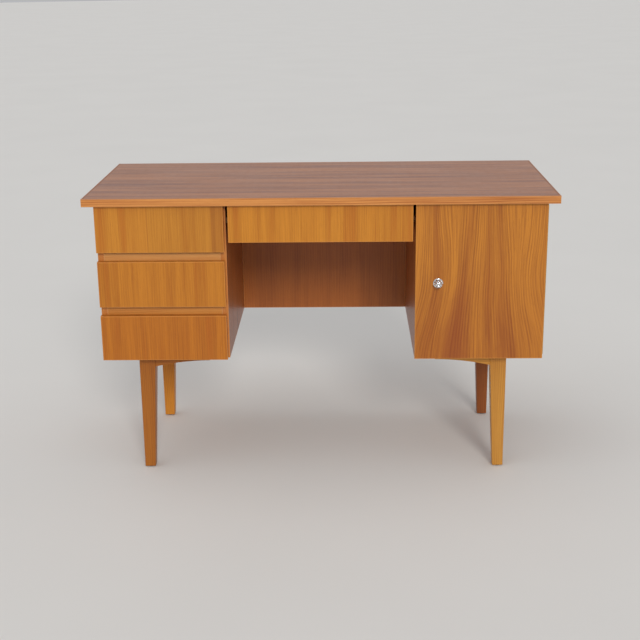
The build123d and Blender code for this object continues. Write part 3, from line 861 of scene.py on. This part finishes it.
def crown_cut(tree, placed):
    """Spreads the grain into forks towards the top and outwards towards the bottom."""
    axes = add_node(tree, "ShaderNodeSeparateXYZ", {0: placed}).outputs
    rise = fade(tree, axes["Z"], *upper_rise)
    fall = fade(tree, axes["Z"], *lower_fall)
    drift = maths(tree, "SUBTRACT", stretched_noise(tree, placed, drift_stretch), 0.5)
    across = maths(tree, "MULTIPLY_ADD", drift, drift_reach, axes["X"])
    turn = maths(tree, "MULTIPLY", maths(tree, "SUBTRACT", across, fork_place), math.tau / fork_spacing)
    swing = maths(tree, "MULTIPLY", maths(tree, "SINE", turn), maths(tree, "MULTIPLY", rise, -fork_swing))
    across = maths(tree, "ADD", across, swing)
    narrowed = maths(tree, "MULTIPLY_ADD", fall, -lower_spread, 1.0)
    across = maths(tree, "MULTIPLY", across, narrowed)
    return add_node(tree, "ShaderNodeCombineXYZ", {"X": across, "Y": axes["Y"], "Z": axes["Z"]}).outputs[0]


finish_with(
    wood(
        "door_crown_veneer",
        "door_panel",
        "upright, facing the front",
        97,
        tint(198, 126, 40),
        tint(132, 68, 20),
        ring_width=0.0062,
        heart=(0.6, 0.08, 0.0),
        waviness=0.002,
        figure=0.37,
        bands=0.42,
        fibre=1.6,
        streak=(tint(154, 76, 24), 0.3),
        marks=heartwood_and_bottom_shade,
        bend=crown_cut,
        edging=(tint(214, 146, 66), 0.0018, 0.4),
    ),
    "door_panel",
)

# ---------------------------------------------------------------------------
# Piano hinge, catch and pins: the hinge is folded brass with a steel pin, the
# catch a magnet in a plastic housing that meets a steel strike.
# ---------------------------------------------------------------------------
tarnish_stretch = (90.0, 90.0, 90.0)
scratch_stretch = (2600.0, 2600.0, 160.0)
scratch_depth = 0.00005
metal_handling, given, result = effect_group(
    "metal_handling", {"Vector": (0.0, 0.0, 0.0), "Level": 0.3}, ("Tarnish", "Roughness", "Scratches")
)
tarnish = stretched_noise(metal_handling, given["Vector"], tarnish_stretch, 4.0, 0.6)
scratches = stretched_noise(metal_handling, given["Vector"], scratch_stretch)
metal_handling.links.new(fade(metal_handling, tarnish, 0.42, 0.72), result["Tarnish"])
dulled = maths(metal_handling, "MULTIPLY_ADD", scratches, 0.08, given["Level"])
dulled = maths(metal_handling, "MULTIPLY_ADD", maths(metal_handling, "SUBTRACT", tarnish, 0.4), 0.2, dulled)
metal_handling.links.new(dulled, result["Roughness"])
metal_handling.links.new(scratches, result["Scratches"])


def metal(name, bright, dull, roughness, scratch=0.1):
    """A bare or plated metal, dulled in patches and finely scratched."""
    material, tree, shader, position = bare_material(name)
    values = {"Vector": position, "Level": roughness}
    handled = add_node(tree, "ShaderNodeGroup", values, node_tree=metal_handling).outputs
    tree.links.new(blend_colour(tree, handled["Tarnish"], bright, dull), shader.inputs["Base Color"])
    tree.links.new(handled["Roughness"], shader.inputs["Roughness"])
    values = {"Strength": scratch, "Distance": scratch_depth, "Height": handled["Scratches"]}
    lined = add_node(tree, "ShaderNodeBump", values)
    tree.links.new(lined.outputs[0], shader.inputs["Normal"])
    shader.inputs["Metallic"].default_value = 1.0
    return material


finish_with(
    metal("hinge_brass", tint(206, 168, 100), tint(178, 138, 78), 0.3),
    "hinge_side_leaf",
    "hinge_door_leaf",
    "hinge_pin",
)
zinc_steel = metal("zinc_steel", tint(196, 196, 192), tint(140, 138, 134), 0.32)
finish_with(
    zinc_steel,
    "catch_strike",
    "shelf_pins",
    "long_screws",
    "short_screws",
    "hinge_side_screws",
    "door_screws",
    "knob_screw",
)
moulding_stretch = (900.0, 900.0, 900.0)
catch_housing, tree, shader, position = bare_material("catch_housing")
moulded = stretched_noise(tree, position, moulding_stretch, 2.0, 0.6)
cream = blend_colour(tree, fade(tree, moulded, 0.3, 0.7), tint(196, 190, 178), tint(214, 209, 199))
tree.links.new(cream, shader.inputs["Base Color"])
tree.links.new(fade(tree, moulded, 0.3, 0.7, 0.42, 0.56), shader.inputs["Roughness"])
pebble = add_node(tree, "ShaderNodeBump", {"Strength": 0.2, "Distance": 0.0001, "Height": moulded})
tree.links.new(pebble.outputs[0], shader.inputs["Normal"])
finish_with(catch_housing, "catch_magnet")

# ---------------------------------------------------------------------------
# Door knob: turned and fluted brass, chrome plated, with six lobes round a
# domed head, held from inside the door by one screw through its rose.
# ---------------------------------------------------------------------------
# Radius and distance from the door's face, from the foot to the dimple.
knob_profile = (
    (0.0, 0.0),
    (0.0048, 0.0),
    (0.0050, 0.0004),
    (0.0046, 0.0030),
    (0.0047, 0.0056),
    (0.0066, 0.0076),
    (0.0098, 0.0088),
    (0.0113, 0.0104),
    (0.0115, 0.0126),
    (0.0108, 0.0150),
    (0.0090, 0.0172),
    (0.0064, 0.0186),
    (0.0046, 0.0190),
    (0.0034, 0.0186),
    (0.0028, 0.0178),
    (0.0, 0.0176),
)
knob_steps = 48
knob_lobes = 6
lobe_depth = 0.42
lobe_start = 0.0062
flute_sharpness = 1.5
chrome = metal("knob_chrome", tint(226, 228, 230), tint(190, 192, 196), 0.1, 0.04)
finish_with(chrome, "knob_rose")
neck_lowest, neck_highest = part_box("door_knob")
knob_middle = (neck_lowest + neck_highest) / 2
knob_middle.y = neck_highest.y
knob_widest = max(radius for radius, out in knob_profile)
shape = bmesh.new()
outline = [shape.verts.new((radius, -out, 0.0)) for radius, out in knob_profile]
sweep = [shape.edges.new(pair) for pair in zip(outline, outline[1:])]
bmesh.ops.spin(
    shape,
    geom=outline + sweep,
    cent=(0.0, 0.0, 0.0),
    axis=(0.0, 1.0, 0.0),
    dvec=(0.0, 0.0, 0.0),
    angle=math.tau,
    steps=knob_steps,
    use_merge=True,
)
bmesh.ops.remove_doubles(shape, verts=shape.verts, dist=weld_distance)
for vert in shape.verts:
    if -vert.co.y > lobe_start:
        around = math.atan2(vert.co.z, vert.co.x)
        radius = math.hypot(vert.co.x, vert.co.z)
        hollow = (0.5 - 0.5 * math.cos(knob_lobes * around)) ** flute_sharpness
        pull = 1 - lobe_depth * hollow * min(1.0, radius / knob_widest)
        vert.co.x *= pull
        vert.co.z *= pull
bmesh.ops.translate(shape, verts=shape.verts, vec=knob_middle)
bmesh.ops.recalc_face_normals(shape, faces=shape.faces)
knob_mesh = bpy.data.meshes.new("fluted_knob")
shape.to_mesh(knob_mesh)
shape.free()
knob_mesh.shade_smooth()
knob = link_piece(knob_mesh, "fluted_knob", chrome, "door", "knob_chrome", "door_knob")
smoothing = knob.modifiers.new("smoothing", "SUBSURF")
smoothing.levels = 1
smoothing.render_levels = 1

# ---------------------------------------------------------------------------
# Floor, lights and camera: a pale matt floor, a soft light low in front and a
# little to the right, a weaker one overhead, and even pale surroundings.
# ---------------------------------------------------------------------------
floor_radius = 40.0
mottle_stretch = (1.5, 1.5, 1.5)
shape = bmesh.new()
bmesh.ops.create_circle(shape, cap_ends=True, segments=64, radius=floor_radius)
floor_mesh = bpy.data.meshes.new("floor")
shape.to_mesh(floor_mesh)
shape.free()
floor_material, tree, shader, position = bare_material("floor_paint")
mottle = stretched_noise(tree, position, mottle_stretch, 4.0)
paint = blend_colour(tree, mottle, tint(216, 214, 210), tint(222, 220, 216))
tree.links.new(paint, shader.inputs["Base Color"])
shader.inputs["Roughness"].default_value = 0.7
floor_mesh.materials.append(floor_material)
floor = bpy.data.objects.new("floor", floor_mesh)
bpy.context.scene.collection.objects.link(floor)

surroundings_strength = 0.56
surroundings = bpy.data.worlds.new("pale_studio")
surroundings.use_nodes = True
backing = surroundings.node_tree.nodes["Background"]
backing.inputs["Color"].default_value = tint(236, 237, 240)
backing.inputs["Strength"].default_value = surroundings_strength
bpy.context.scene.world = surroundings

# Name, direction towards the light, its spread in degrees, strength and colour.
studio_lights = (
    ("front_light", (0.6, -2.8, 1.45), 16.0, 1.42, (1.0, 0.98, 0.95)),
    ("top_light", (-0.8, -0.6, 3.0), 70.0, 0.68, (0.97, 0.98, 1.0)),
)
for name, direction, spread, strength, colour in studio_lights:
    light = bpy.data.lights.new(name, "SUN")
    light.angle = math.radians(spread)
    light.energy = strength
    light.color = colour
    holder = bpy.data.objects.new(name, light)
    bpy.context.scene.collection.objects.link(holder)
    holder.rotation_euler = Vector(direction).to_track_quat("Z", "Y").to_euler()

camera_place = (0.0616, -3.1825, 1.3207)
camera_pitch = 0.2963
camera_yaw = 0.0223
camera_roll = -0.0121
film_width = 36.0
lens_length = 66.67
camera_data = bpy.data.cameras.new("camera")
camera_data.sensor_width = film_width
camera_data.lens = lens_length
camera_data.clip_end = 200.0
camera = bpy.data.objects.new("camera", camera_data)
bpy.context.scene.collection.objects.link(camera)
camera.matrix_world = (
    Matrix.Translation(camera_place)
    @ Matrix.Rotation(camera_yaw, 4, "Z")
    @ Matrix.Rotation(math.radians(90) - camera_pitch, 4, "X")
    @ Matrix.Rotation(camera_roll, 4, "Z")
)
bpy.context.scene.camera = camera
bpy.context.scene.view_settings.view_transform = "Standard"
